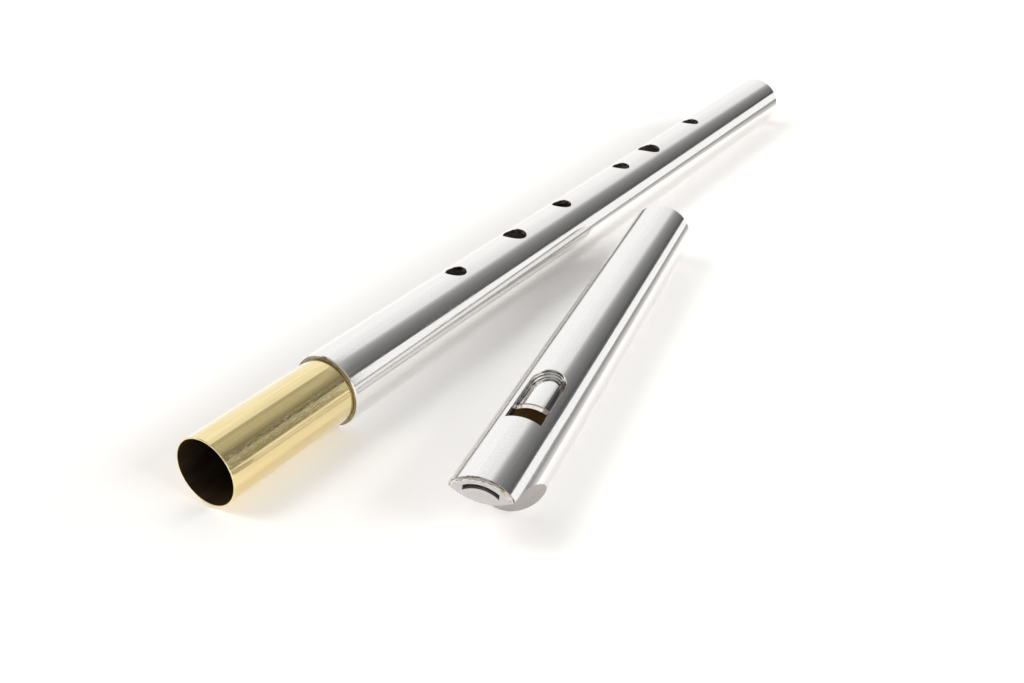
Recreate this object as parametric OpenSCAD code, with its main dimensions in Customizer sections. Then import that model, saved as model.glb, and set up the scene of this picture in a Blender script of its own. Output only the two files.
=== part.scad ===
// Low whistle in D, taken apart at its tuning joint.
// The body lies along X. Its head lies beside it, turned a little towards it, on the same table.
// All sizes are in millimetres. The origin is on the body's axis, at the end the brass sleeve leaves.

/* [Tuning joint] */
// Outside diameter of the brass tuning sleeve
sleeve_od = 22.7; // [16:0.1:30]
// Wall of the tuning sleeve
sleeve_wall = 0.45; // [0.3:0.05:1]
// Length of sleeve that stands out of the body
sleeve_out = 53.2; // [30:0.1:90]
// Length of sleeve held inside the body
sleeve_held = 40; // [25:0.5:70]
// Clearance on radius between the sleeve and both tubes
slide_gap = 0.05; // [0.02:0.01:0.1]
// Bevel on both ends of the sleeve
sleeve_edge = 0.12; // [0.05:0.01:0.2]
// Gap between the sleeve's inner end and the shoulder of its seat
seat_gap = 0.2; // [0.1:0.05:1]
// Width of the fine grooves that end the sliding surfaces
groove_w = 0.8; // [0.6:0.1:1.5]
// Depth of those grooves
groove_h = 0.12; // [0.05:0.01:0.2]

/* [Body] */
// Length of the body tube
body_len = 369.8; // [300:0.1:480]
// Wall of the body tube round the seat of the sleeve
seat_wall = 1.3; // [0.9:0.05:2]
// Step from the sleeve's seat down to the body's own bore
bore_step = 0.3; // [0.2:0.05:0.6]
// Bevel on the outer edges of the body tube
body_edge = 0.35; // [0.1:0.05:0.8]
// Bevel inside the foot of the body tube
foot_edge = 0.4; // [0.1:0.05:0.8]
// How far the line of finger holes is rolled from straight up, in degrees
hole_roll = 2; // [-20:0.5:20]

/* [Finger holes, upper hand] */
// Distance of the first hole from the foot
hole_1_at = 295; // [270:0.5:310]
// Bore of the first hole
hole_1_d = 7.8; // [5:0.1:12]
// Distance of the second hole from the foot
hole_2_at = 254.5; // [240:0.5:265]
// Bore of the second hole
hole_2_d = 9.3; // [5:0.1:12]
// Distance of the third hole from the foot
hole_3_at = 217.5; // [200:0.5:230]
// Bore of the third hole
hole_3_d = 7.9; // [5:0.1:12]

/* [Finger holes, lower hand] */
// Distance of the fourth hole from the foot
hole_4_at = 164; // [155:0.5:180]
// Bore of the fourth hole
hole_4_d = 7.6; // [5:0.1:12]
// Distance of the fifth hole from the foot
hole_5_at = 135.5; // [120:0.5:145]
// Bore of the fifth hole
hole_5_d = 10.1; // [5:0.1:12]
// Distance of the sixth hole from the foot
hole_6_at = 88.5; // [60:0.5:105]
// Bore of the sixth hole
hole_6_d = 7.9; // [5:0.1:12]

/* [Head tube] */
// Length of the head
head_len = 206; // [160:0.5:260]
// Wall of the head tube
head_wall = 1; // [0.7:0.05:1.6]
// Bevel on the lip end of the head tube
beak_edge = 0.7; // [0.2:0.05:0.9]
// Bevel on the socket end of the head tube, outside and inside
socket_edge = 0.25; // [0.1:0.05:0.4]

/* [Window and windway] */
// Distance from the lip end to the front edge of the window
window_at = 32.6; // [26:0.1:45]
// Width of the window
window_w = 11.1; // [8:0.1:14]
// Length of the window from its front edge to the top of its arch
window_len = 28.8; // [22:0.1:36]
// Distance from the front edge of the window to the blade
mouth_gap = 9.7; // [6:0.1:13]
// Wall of the windway sleeve over the windway, which is also the depth of the ramp under it
roof_wall = 1.2; // [0.8:0.05:1.8]
// Wall left under the ramp
ramp_wall = 1; // [0.6:0.05:1.4]
// Thickness of the blade's edge
blade_edge = 0.2; // [0.1:0.05:0.4]
// Length of the bevel behind the blade's edge
blade_bevel = 1.4; // [0.6:0.1:4]
// Length of the windway sleeve
windway_sleeve_len = 95; // [75:0.5:120]
// Height of the windway
windway_h = 1.4; // [0.8:0.05:2.2]
// Width of the windway
windway_w = 10.7; // [8:0.1:13]
// Bevel at the end of the windway floor
floor_bevel = 0.5; // [0.2:0.05:1]
// Clearance on radius between the pieces glued into the head
glue_gap = 0.02; // [0.01:0.01:0.05]

/* [Beak] */
// Thickness of the lip at its middle, from the top of the head down
lip_h = 8; // [6:0.1:11]
// Radius of the scoop under the beak, seen from the side
scoop_r = 20.2; // [14:0.1:26]
// Radius of the scoop's rounding across the lip
scoop_cross_r = 16.5; // [14:0.1:30]

/* [Lie of the head beside the body] */
// Distance of the lip end behind the body's end
lie_x = 28.4; // [10:0.1:120]
// Distance of the lip end from the body's axis
lie_y = 77.2; // [72:0.1:160]
// Angle between the head and the body, in degrees
lie_turn = 11.7; // [5:0.1:12]
// Roll of the head about its own axis, in degrees
lie_roll = 4.5; // [-30:0.5:30]

/* [Hidden] */
$fn = 96;
eps = 0.01;
past = 1;
sleeve_r = sleeve_od / 2;
bore_r = sleeve_r + slide_gap;
body_r = bore_r + seat_wall;
body_bore_r = bore_r - bore_step;
seat_len = sleeve_held + seat_gap;
socket_at = windway_sleeve_len + groove_w;
head_r = bore_r + head_wall;
insert_r = bore_r - glue_gap;
roof_r = bore_r - roof_wall;
ramp_r = roof_r;
rear_bore_r = ramp_r - ramp_wall;
floor_r = roof_r - windway_h;
plug_r = roof_r - glue_gap;
blade_at = window_at + mouth_gap;
arch_r = window_w / 2;
arch_at = window_at + window_len - arch_r;
scoop_z = head_r - lip_h - scoop_r;
alu = [0.83, 0.83, 0.82];
satin = [0.74, 0.73, 0.71];
brass = [0.83, 0.66, 0.33];

// Tube along X from x = 0, with bevelled ends
module tube(len, r_out, r_in, edge_0, edge_1) {
  rotate([0, 90, 0])
    rotate_extrude()
      polygon([
        [r_in, 0], [r_out - edge_0, 0], [r_out, edge_0],
        [r_out, len - edge_1], [r_out - edge_1, len], [r_in, len]
      ]);
}

// Cone cut that bevels a bore of radius r at an open end at x, widening towards +X
module inner_edge(x, r, edge) {
  translate([x - edge, 0, 0])
    rotate([0, 90, 0])
      cylinder(h = edge + eps, r1 = r, r2 = r + edge + eps);
}

// Fine V groove turned on radius r and centred on x, cut outwards for a bore or inwards for a shaft
module groove(x, r, depth) {
  translate([x, 0, 0])
    rotate([0, 90, 0])
      rotate_extrude()
        polygon([[r, -groove_w / 2], [r + depth, 0], [r, groove_w / 2], [r - depth, 0]]);
}

// One finger hole, cut from the bore straight out through the top wall
module finger_hole(from_foot, d) {
  translate([body_len - from_foot, 0, 0])
    rotate([-hole_roll, 0, 0])
      cylinder(h = body_r + past, d = d);
}

// Places what it holds where the head lies, with the lip end at its own x = 0
module in_head() {
  translate([-lie_x, -lie_y, head_r - body_r])
    rotate([0, 0, lie_turn])
      rotate([lie_roll, 0, 0])
        children();
}

// Outline of the window as a straight cut through the top of the head
module window_cut() {
  linear_extrude(height = head_r + past) {
    translate([window_at, -arch_r])
      square([arch_at - window_at, window_w]);
    translate([arch_at, 0])
      circle(r = arch_r);
  }
}

// Round cut under the beak, hollow along the head and rounded across it
module scoop_cut() {
  cross_at = scoop_r + scoop_cross_r;
  half_w = head_r + past;
  translate([0, 0, scoop_z])
    rotate([90, 0, 0])
      rotate_extrude()
        difference() {
          translate([0, -half_w])
            square([cross_at, 2 * half_w]);
          translate([cross_at, 0])
            circle(r = scoop_cross_r);
        }
}

// Body tube with its six finger holes
module body_tube() {
  color(alu)
    difference() {
      tube(body_len, body_r, body_bore_r, body_edge, body_edge);
      sleeve_seat();
      inner_edge(body_len, body_bore_r, foot_edge);
      finger_hole(hole_1_at, hole_1_d);
      finger_hole(hole_2_at, hole_2_d);
      finger_hole(hole_3_at, hole_3_d);
      finger_hole(hole_4_at, hole_4_d);
      finger_hole(hole_5_at, hole_5_d);
      finger_hole(hole_6_at, hole_6_d);
    }
}

// Counterbore in the body's end, with a shoulder behind the sleeve
module sleeve_seat() {
  rotate([0, 90, 0])
    translate([0, 0, -past])
      cylinder(h = seat_len + past, r = bore_r);
}

// Brass sleeve that stands out of the body and takes the head
module tuning_sleeve() {
  color(brass)
    difference() {
      translate([-sleeve_out, 0, 0])
        tube(sleeve_out + sleeve_held, sleeve_r, sleeve_r - sleeve_wall, sleeve_edge, sleeve_edge);
      groove(0, sleeve_r, groove_h);
    }
}

// Outer tube of the head, with its window and the scooped beak
module head_tube() {
  color(alu)
    in_head()
      difference() {
        tube(head_len, head_r, bore_r, beak_edge, socket_edge);
        groove(socket_at, bore_r, groove_h);
        inner_edge(head_len, bore_r, socket_edge);
        window_cut();
        scoop_cut();
      }
}

// Sleeve inside the head that is the windway's roof, the ramp and the blade
module windway_sleeve() {
  color(alu)
    in_head()
      difference() {
        tube(windway_sleeve_len, insert_r, rear_bore_r, eps, socket_edge);
        plug_seat();
        mouth_cut();
        ramp_cut();
        blade_cut();
        scoop_cut();
      }
}

// Wider bore in the front of the windway sleeve that the plug fills
module plug_seat() {
  rotate([0, 90, 0])
    translate([0, 0, -past])
      cylinder(h = window_at + past, r = roof_r);
}

// Opening between the end of the windway and the blade
module mouth_cut() {
  translate([window_at - eps, -window_w / 2, 0])
    cube([mouth_gap + eps, window_w, head_r + past]);
}

// Pocket behind the blade, whose floor is round like the tube
module ramp_cut() {
  difference() {
    window_cut();
    rotate([0, 90, 0])
      cylinder(h = head_len, r = ramp_r);
  }
}

// Bevel that sharpens the front of the ramp to the blade's edge
module blade_cut() {
  edge_r = rear_bore_r + blade_edge;
  intersection() {
    window_cut();
    rotate([0, 90, 0])
      rotate_extrude()
        polygon([
          [edge_r, blade_at - past], [edge_r, blade_at], [ramp_r, blade_at + blade_bevel],
          [head_r, blade_at + blade_bevel], [head_r, blade_at - past]
        ]);
  }
}

// Block that fills the head in front of the window, with the windway cut along its top
module fipple_plug() {
  color(satin)
    in_head()
      difference() {
        rotate([0, 90, 0])
          cylinder(h = window_at, r = plug_r);
        windway_cut();
        scoop_cut();
      }
}

// Channel for the breath, between straight sides and over a round floor
module windway_cut() {
  difference() {
    translate([-past, -windway_w / 2, 0])
      cube([window_at + 2 * past, windway_w, head_r]);
    rotate([0, 90, 0])
      rotate_extrude()
        polygon([
          [0, -2 * past], [floor_r, -2 * past], [floor_r, window_at - floor_bevel],
          [floor_r - floor_bevel, window_at], [0, window_at]
        ]);
  }
}

body_tube();
tuning_sleeve();
head_tube();
windway_sleeve();
fipple_plug();
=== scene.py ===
"""Low whistle taken apart at its tuning joint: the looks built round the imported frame."""

import logging
import math
from dataclasses import dataclass
from enum import Enum, IntEnum
from typing import Callable, Mapping, Sequence

import bmesh
import bpy
import numpy as np
from mathutils import Euler, Matrix, Vector


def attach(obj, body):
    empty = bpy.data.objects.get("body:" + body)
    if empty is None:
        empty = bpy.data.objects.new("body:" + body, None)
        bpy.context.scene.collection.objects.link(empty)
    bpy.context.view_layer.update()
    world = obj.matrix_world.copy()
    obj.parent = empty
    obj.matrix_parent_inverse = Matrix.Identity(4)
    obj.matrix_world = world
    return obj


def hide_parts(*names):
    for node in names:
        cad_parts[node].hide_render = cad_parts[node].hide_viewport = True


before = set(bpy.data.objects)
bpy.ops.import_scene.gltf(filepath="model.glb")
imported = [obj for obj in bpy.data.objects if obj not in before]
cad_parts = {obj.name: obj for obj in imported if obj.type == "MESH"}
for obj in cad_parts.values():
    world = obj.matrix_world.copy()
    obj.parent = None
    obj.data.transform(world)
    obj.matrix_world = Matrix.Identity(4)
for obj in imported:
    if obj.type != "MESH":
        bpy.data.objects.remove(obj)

LOG = logging.getLogger("low_whistle")
MM = 0.001
TABLE_Z = -12.7
Mesh = bpy.types.Mesh
Array = np.ndarray
Point = tuple[float, float, float]
Colour = tuple[float, float, float, float]
Stop = tuple[float, float]

# In mm: points nearer than WELD merge, edges shorter than SLIVER go, TINY keeps a length above zero
WELD = 1e-4
SLIVER = 1e-5
TINY = 1e-9
# In mm: cutters stand PAST what they cut and lap a seam by SEAM; up to SKIN past a bore counts as inside it
PAST = 2.0
SEAM = 0.01
SKIN = 0.05
# A face is on a true wall when it is within ON_WALL mm and faces it by more than FACING; SQUARE is square on
ON_WALL = 0.02
FACING = 0.7
SQUARE = 0.99


# Shader nodes


class Sock:
    """One node socket that takes part in Python expressions."""

    def __init__(self, net: "Net", out: bpy.types.NodeSocket) -> None:
        """Wraps an output socket of a net's tree."""
        self.net = net
        self.out = out

    def __add__(self, other: "Value") -> "Sock":
        """Sum."""
        return self.net.math("ADD", self, other)

    __radd__ = __add__

    def __mul__(self, other: "Value") -> "Sock":
        """Product."""
        return self.net.math("MULTIPLY", self, other)

    __rmul__ = __mul__

    def __sub__(self, other: "Value") -> "Sock":
        """Difference."""
        return self.net.math("SUBTRACT", self, other)

    def __rsub__(self, other: "Value") -> "Sock":
        """Difference from a number."""
        return self.net.math("SUBTRACT", other, self)

    def __truediv__(self, other: "Value") -> "Sock":
        """Quotient."""
        return self.net.math("DIVIDE", self, other)


Value = Sock | float


class Net:
    """The node tree of a material, a world or a form, written as expressions."""

    def __init__(self, tree: bpy.types.NodeTree) -> None:
        """Empties the tree and keeps it."""
        tree.nodes.clear()
        self.tree = tree

    def node(
        self,
        kind: str,
        inputs: Mapping[str | int, object] | None = None,
        output: str | int = 0,
        **settings: object,
    ) -> Sock:
        """Adds any node.

        Args:
            kind: the node's type.
            inputs: values or links of its sockets, by name or number.
            output: the socket that is handed back.
            settings: what is set first, such as an operation, or a ramp's stops.

        Returns:
            The chosen output, or the node's first one.
        """
        made = self.tree.nodes.new(kind)
        for key, value in settings.items():
            if key == "stops":
                self._stops(made, value)
            else:
                setattr(made, key, value)
        for key, value in (inputs or {}).items():
            if isinstance(value, Sock):
                self.tree.links.new(value.out, made.inputs[key])
            else:
                made.inputs[key].default_value = value
        return Sock(self, made.outputs[output]) if made.outputs else Sock(self, None)

    @staticmethod
    def _stops(made: bpy.types.Node, stops: Sequence[Stop]) -> None:
        """Sets a ramp's grey stops.

        Args:
            made: the ramp node.
            stops: pairs of place and grey.
        """
        ramp = made.color_ramp
        while len(ramp.elements) < len(stops):
            ramp.elements.new(1.0)
        for element, (place, grey) in zip(ramp.elements, stops):
            element.position = place
            element.color = (grey, grey, grey, 1.0)

    def math(self, operation: str, *values: Value) -> Sock:
        """A Math node of up to three values."""
        return self.node("ShaderNodeMath", dict(enumerate(values)), operation=operation)

    def clip(self, value: Value) -> Sock:
        """The value held between 0 and 1."""
        return self.math("MAXIMUM", self.math("MINIMUM", value, 1.0), 0.0)

    def mix(self, share: Value, first: "Sock | Colour", second: "Sock | Colour") -> Sock:
        """Blends two colours: the first at a share of 0, the second at 1."""
        inputs = {0: share, 6: first, 7: second}
        return self.node("ShaderNodeMix", inputs, 2, data_type="RGBA", clamp_factor=True)

    def join(self, x: Value, y: Value, z: Value) -> Sock:
        """A vector from three values."""
        return self.node("ShaderNodeCombineXYZ", {0: x, 1: y, 2: z})

    def noise(self, vector: Sock, scale: float, detail: float = 2.0, rough: float = 0.5) -> Sock:
        """Noise from 0 to 1 on a vector: cells per unit, octaves, and the share of each finer octave."""
        inputs = {"Vector": vector, "Scale": scale, "Detail": detail, "Roughness": rough}
        return self.node("ShaderNodeTexNoise", inputs)

    def ramp(self, value: Sock, stops: Sequence[Stop]) -> Sock:
        """Grey ramp with linear stops."""
        return self.node("ShaderNodeValToRGB", {0: value}, stops=stops)

    def band(self, value: Sock, low: float, high: float) -> Sock:
        """Rises from 0 at the low value to 1 at the high one."""
        return self.ramp(value, ((low, 0.0), (high, 1.0)))

    def curve(self, value: Sock, stops: Sequence[Stop]) -> Sock:
        """Grey ramp over any range, from its first stop to its last.

        Args:
            value: where on the ramp.
            stops: pairs of value and grey.

        Returns:
            The grey.
        """
        first, last = stops[0][0], stops[-1][0]
        share = (value - first) / (last - first)
        return self.ramp(share, [((at - first) / (last - first), grey) for at, grey in stops])

    def emission(self, colour: "Sock | Colour") -> Sock:
        """An even glow of one colour."""
        return self.node("ShaderNodeEmission", {"Color": colour, "Strength": 1.0})


def painted(name: str, shade: Callable[[Net], Sock]) -> bpy.types.Material:
    """Makes a material.

    Args:
        name: the material's name.
        shade: builds its surface shader in its tree.

    Returns:
        The material.
    """
    made = bpy.data.materials.new(name)
    made.use_nodes = True
    net = Net(made.node_tree)
    net.node("ShaderNodeOutputMaterial", {"Surface": shade(net)})
    return made


def linked(name: str, data: bpy.types.ID) -> bpy.types.Object:
    """An object at the origin that shows the data in the scene.

    Args:
        name: the object's name.
        data: its mesh, lamp or camera.

    Returns:
        The object.
    """
    made = bpy.data.objects.new(name, data)
    bpy.context.scene.collection.objects.link(made)
    return made


# Finishes


@dataclass(frozen=True)
class Lie:
    """Where a tube lies: its start, its turn about Z and its roll about itself, in mm and degrees."""

    x: float = 0.0
    y: float = 0.0
    z: float = 0.0
    turn: float = 0.0
    roll: float = 0.0

    def matrix(self) -> Matrix:
        """From the tube's own frame in mm to the row frame in metres.

        Returns:
            The matrix.
        """
        spin = Euler((math.radians(self.roll), 0.0, math.radians(self.turn)), "XYZ")
        place = Matrix.Translation(Vector((self.x, self.y, self.z)) * MM)
        return place @ spin.to_matrix().to_4x4() @ Matrix.Scale(MM, 4)

    def coordinates(self, net: Net) -> Sock:
        """The tube's own frame in mm, as a shader vector.

        Args:
            net: the material's tree.

        Returns:
            The coordinates.
        """
        seen = net.node("ShaderNodeTexCoord", output="Object")
        inputs = {
            "Vector": seen,
            "Location": (self.x * MM, self.y * MM, self.z * MM),
            "Rotation": (math.radians(self.roll), 0.0, math.radians(self.turn)),
            "Scale": (MM, MM, MM),
        }
        return net.node("ShaderNodeMapping", inputs, vector_type="TEXTURE")


class Slot(Enum):
    """The record's material slots."""

    POLISHED = "polished_aluminium"
    SATIN = "satin_aluminium"
    BRASS = "brass"


@dataclass(frozen=True)
class TubeMap:
    """Cylinder coordinates of a tube: how far along, how far round in mm, and how far out."""

    along: Sock
    round: Sock
    out: Sock

    @classmethod
    def of(cls, net: Net, lie: Lie, radius: float) -> "TubeMap":
        """Builds them for one tube.

        Args:
            net: the material's tree.
            lie: where the tube lies.
            radius: the radius at which the way round is in true mm.

        Returns:
            The three coordinates.
        """
        parts = net.node("ShaderNodeSeparateXYZ", {0: lie.coordinates(net)})
        x, y, z = (Sock(net, out) for out in parts.out.node.outputs)
        return cls(x, net.math("ARCTAN2", y, z) * radius, net.math("SQRT", y * y + z * z))

    def at(self, net: Net, along: float, round_: float, seed: float = 0.0) -> Sock:
        """A vector in the unrolled wall, scaled along and round, and moved by a seed."""
        return net.join(self.along * along + seed, self.round * round_, seed)


@dataclass(frozen=True)
class Grain:
    """Noise in a tube's unrolled wall: cells per mm, octaves, and the greys that bound its mask."""

    along: float
    round: float
    offset: float = 0.0
    octaves: float = 2.0
    finer: float = 0.5
    low: float = 0.0
    high: float = 1.0

    def noise(self, net: Net, tube: TubeMap, seed: float = 0.0) -> Sock:
        """The noise itself, 0 to 1, moved by a seed."""
        place = tube.at(net, self.along, self.round, seed + self.offset)
        return net.noise(place, 1.0, self.octaves, self.finer)

    def mask(self, net: Net, tube: TubeMap, seed: float = 0.0) -> Sock:
        """The noise stretched between its low and its high grey."""
        return net.band(self.noise(net, tube, seed), self.low, self.high)


@dataclass(frozen=True)
class Mark:
    """What a mask does to a metal: the colour it lays on and how much, its roughness and height."""

    colour: Colour | None = None
    share: float = 1.0
    rough: float = 0.0
    height: float = 0.0


@dataclass(frozen=True)
class Metal:
    """A metal before its marks: its roughness, bump, share of metal and lacquer. Depth is in metres."""

    rough: float
    bump: float
    depth: float = 0.00005
    metallic: float = 1.0
    coat: float = 0.0
    coat_rough: float = 0.1


FINE_HAIR = Grain(0.03, 6.0, octaves=3.0, finer=0.6)
BROAD_HAIR = Grain(0.012, 1.4, offset=7.0)
FINE_SHARE = 0.6
SCRATCH_SWAY = Grain(0.09, 0.5)
SCRATCH_PATCH = Grain(0.05, 0.12, offset=3.0, octaves=1.0, low=0.5, high=0.62)
MIDDLE = 0.5


@dataclass(frozen=True)
class Finish:
    """One procedural metal finish."""

    name: str
    lie: Lie
    radius: float

    def material(self) -> bpy.types.Material:
        """Builds the finish, or finds the one that was built."""
        return bpy.data.materials.get(self.name) or painted(self.name, self.shader)

    def shader(self, net: Net) -> Sock:
        """The finish's surface shader."""
        raise NotImplementedError

    def tube(self, net: Net) -> TubeMap:
        """The coordinates of the tube that wears the finish."""
        return TubeMap.of(net, self.lie, self.radius)

    def surface(self, net: Net, base: Colour, metal: Metal, marks: Sequence[tuple[Sock, Mark]]) -> Sock:
        """Lays marks on a metal, in their order.

        Args:
            net: the material's tree.
            base: the bare metal's colour.
            metal: its other values.
            marks: each mask with what it does.

        Returns:
            The surface shader.
        """
        colour, rough, height = base, metal.rough, 0.0
        for mask, mark in marks:
            if mark.colour:
                colour = net.mix(mask * mark.share, colour, mark.colour)
            if mark.rough:
                rough = rough + mask * mark.rough
            if mark.height:
                height = height + mask * mark.height
        relief = {"Strength": metal.bump, "Distance": metal.depth, "Height": height}
        inputs = {
            "Base Color": colour, "Metallic": metal.metallic, "Roughness": rough,
            "Normal": net.node("ShaderNodeBump", relief),
            "Coat Weight": metal.coat, "Coat Roughness": metal.coat_rough,
        }
        return net.node("ShaderNodeBsdfPrincipled", inputs)

    def hairlines(self, net: Net, tube: TubeMap, seed: float) -> Sock:
        """Fine lines along the tube, 0 to 1."""
        fine, broad = (hair.noise(net, tube, seed) for hair in (FINE_HAIR, BROAD_HAIR))
        return fine * FINE_SHARE + broad * (1.0 - FINE_SHARE)

    def scratches(self, net: Net, tube: TubeMap, seed: float, width: float) -> Sock:
        """Sparse thin marks that wander along the tube, 1 on a mark.

        Args:
            net: the material's tree.
            tube: the tube's coordinates.
            seed: which marks.
            width: how wide a band of the noise counts as a mark.

        Returns:
            The mask of the marks.
        """
        near = net.math("ABSOLUTE", SCRATCH_SWAY.noise(net, tube, seed) - MIDDLE)
        line = net.ramp(near / width, ((0.0, 1.0), (1.0, 0.0)))
        return line * SCRATCH_PATCH.mask(net, tube, seed)


@dataclass(frozen=True)
class PolishedAluminium(Finish):
    """Tube aluminium polished bright, with faint lengthwise lines and smudges."""

    seed: float = 1.0
    bright: Colour = (0.97, 0.96, 0.945, 1.0)
    metal: Metal = Metal(rough=0.035, bump=0.1)
    streak_low: float = 0.36
    streak_high: float = 0.64
    scratch_offset: float = 20.0
    scratch_width: float = 0.01
    smudges: Grain = Grain(0.04, 0.08, offset=5.0, octaves=3.0, finer=0.6)
    pits: Grain = Grain(2.2, 2.2, offset=9.0, finer=0.6, low=0.66, high=0.74)
    grain: Grain = Grain(1.1, 1.8, offset=31.0, octaves=3.0, finer=0.75, low=0.42, high=0.68)
    smudged: Mark = Mark((0.92, 0.905, 0.89, 1.0), 0.5, rough=0.05)
    streaked: Mark = Mark((0.66, 0.645, 0.63, 1.0), 0.16, rough=0.06)
    pitted: Mark = Mark((0.45, 0.44, 0.42, 1.0), 0.35, rough=0.1, height=-0.3)
    grained: Mark = Mark((0.55, 0.53, 0.52, 1.0), 0.16, rough=0.03)
    scratched: Mark = Mark(rough=0.12, height=-0.5)
    lined: Mark = Mark(height=1.0)

    def shader(self, net: Net) -> Sock:
        """The finish's surface shader.

        Args:
            net: the material's tree.

        Returns:
            The surface shader.
        """
        tube, seed = self.tube(net), self.seed
        lines = self.hairlines(net, tube, seed)
        return self.surface(net, self.bright, self.metal, (
            (self.smudges.noise(net, tube, seed), self.smudged),
            (net.band(lines, self.streak_low, self.streak_high), self.streaked),
            (self.pits.mask(net, tube, seed), self.pitted),
            (self.grain.mask(net, tube, seed), self.grained),
            (self.scratches(net, tube, seed + self.scratch_offset, self.scratch_width), self.scratched),
            (lines, self.lined),
        ))


@dataclass(frozen=True)
class RampAluminium(Finish):
    """The ramp and the blade: bright, with a painted dark reflection in streaks on one side and a line over
    the bevel.
    """

    reflection_from: float = -2.95
    reflection_rise: float = 9.0
    bevel_at: float = 43.7
    bevel_past: float = 0.12
    bevel_rise: float = 8.0
    line_width: float = 0.5
    line_rise: float = 5.0
    bright: Colour = (0.95, 0.94, 0.925, 1.0)
    metal: Metal = Metal(rough=0.07, bump=0.15)
    streaks: Grain = Grain(0.03, 3.4, offset=4.0)
    streak_stops: tuple[Stop, ...] = ((0.38, 1.0), (0.55, 0.9), (0.66, 0.4))
    grain: Grain = Grain(0.9, 1.1, offset=8.0)
    painted_reflection: Mark = Mark((0.10, 0.085, 0.08, 1.0))
    seamed: Mark = Mark((0.14, 0.10, 0.075, 1.0), 0.85)
    tarnished: Mark = Mark((0.52, 0.44, 0.36, 1.0), 0.6)
    rubbed: Mark = Mark(rough=0.12)
    grained: Mark = Mark(rough=0.06)
    lined: Mark = Mark(height=1.0)

    def shader(self, net: Net) -> Sock:
        """The finish's surface shader.

        Args:
            net: the material's tree.

        Returns:
            The surface shader.
        """
        tube = self.tube(net)
        lines, grain = self.streaks.noise(net, tube), self.grain.noise(net, tube)
        # Painted reflection: one side of the ramp is darkened in streaks where the window's wall would
        # mirror in it.
        side = net.clip((self.reflection_from - tube.round) * self.reflection_rise)
        over = net.clip((self.bevel_at + self.bevel_past - tube.along) * self.bevel_rise)
        line = over * net.clip((tube.along - self.bevel_at + self.line_width) * self.line_rise)
        return self.surface(net, self.bright, self.metal, (
            (side * net.ramp(lines, self.streak_stops), self.painted_reflection),
            (line, self.seamed),
            (over * grain, self.tarnished),
            (side, self.rubbed),
            (grain, self.grained),
            (lines, self.lined),
        ))


@dataclass(frozen=True)
class SatinAluminium(Finish):
    """Sanded aluminium of the plug, the lip's ring and the scooped beak, with painted shade that grows along
    the tube.
    """

    light: Colour = (0.74, 0.715, 0.70, 1.0)
    dark: Colour = (0.50, 0.48, 0.47, 1.0)
    painted_shade_from: float = 2.0
    painted_shade_rise: float = 0.16
    painted_shade_share: float = 0.5
    grain_size: float = 5.0
    cloud_size: float = 0.5
    cloud_share: float = 0.6
    grain_stops: tuple[Stop, ...] = ((0.35, 0.0), (0.7, 0.5))
    metal: Metal = Metal(rough=0.34, bump=0.12, metallic=0.85)
    grained: Mark = Mark(rough=0.16, height=1.0)

    def shader(self, net: Net) -> Sock:
        """The finish's surface shader.

        Args:
            net: the material's tree.

        Returns:
            The surface shader.
        """
        place = self.lie.coordinates(net)
        grain = net.noise(place, self.grain_size, detail=3.0, rough=0.6)
        cloud = net.noise(place, self.cloud_size)
        along = net.node("ShaderNodeSeparateXYZ", {0: place})
        # Painted shade: darker past a set point along the tube, added to the random cloud and grain.
        deep = net.clip((along - self.painted_shade_from) * self.painted_shade_rise) * self.painted_shade_share
        shade = net.clip(cloud * self.cloud_share + net.ramp(grain, self.grain_stops) + deep)
        return self.surface(net, self.light, self.metal, ((shade, Mark(self.dark)), (grain, self.grained)))


@dataclass(frozen=True)
class CutAluminium(Finish):
    """Milled walls of the window, with lines left by the cutter that follow its edge, and a painted dark
    reflection at the arch's crown.
    """

    light: Colour = (0.95, 0.93, 0.90, 1.0)
    dark: Colour = (0.12, 0.11, 0.095, 1.0)
    along: float = 0.04
    across: float = 2.6
    crown_at: float = 59.9
    crown_rise: float = 3.0
    crown_shade: float = 0.2
    joint_at: float = 11.45
    joint_rise: float = 8.0
    patches: Grain = Grain(0.3, 0.3, offset=6.0, octaves=1.0)
    patch_share: float = 0.5
    line_low: float = 0.42
    line_high: float = 0.54
    metal: Metal = Metal(rough=0.16, bump=0.2, depth=0.00006)
    lined: Mark = Mark(rough=0.14, height=1.0)

    def shader(self, net: Net) -> Sock:
        """The finish's surface shader.

        Args:
            net: the material's tree.

        Returns:
            The surface shader.
        """
        tube = self.tube(net)
        level = net.join(tube.along * self.along, tube.out * self.across, 0.0)
        patch = self.patches.noise(net, tube)
        # Painted dark reflection: the outer tube's walls turn darker at the arch's crown.
        crown = net.clip((tube.along - self.crown_at) * self.crown_rise)
        crown = crown * net.clip((tube.out - self.joint_at) * self.joint_rise)
        lines = net.noise(level, 1.0) + (patch - MIDDLE) * self.patch_share - crown * self.crown_shade
        bright = net.band(lines, self.line_low, self.line_high)
        return self.surface(net, self.dark, self.metal, ((bright, Mark(self.light)), (lines, self.lined)))


@dataclass(frozen=True)
class TurnedEnd(Finish):
    """Faced end of a tube, with rings from the lathe and warm tarnish in them."""

    light: Colour = (0.95, 0.91, 0.82, 1.0)
    dark: Colour = (0.17, 0.13, 0.10, 1.0)
    out: float = 4.0
    round: float = 0.5
    along: float = 3.0
    ring_low: float = 0.4
    ring_high: float = 0.54
    metal: Metal = Metal(rough=0.22, bump=0.25, depth=0.00006)
    ringed: Mark = Mark(rough=0.16, height=1.0)

    def shader(self, net: Net) -> Sock:
        """The finish's surface shader.

        Args:
            net: the material's tree.

        Returns:
            The surface shader.
        """
        tube = self.tube(net)
        place = net.join(tube.out * self.out, tube.round * self.round, tube.along * self.along)
        rings = net.noise(place, 1.0, detail=3.0, rough=0.65)
        bright = net.band(rings, self.ring_low, self.ring_high)
        return self.surface(net, self.dark, self.metal, ((bright, Mark(self.light)), (rings, self.ringed)))


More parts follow.
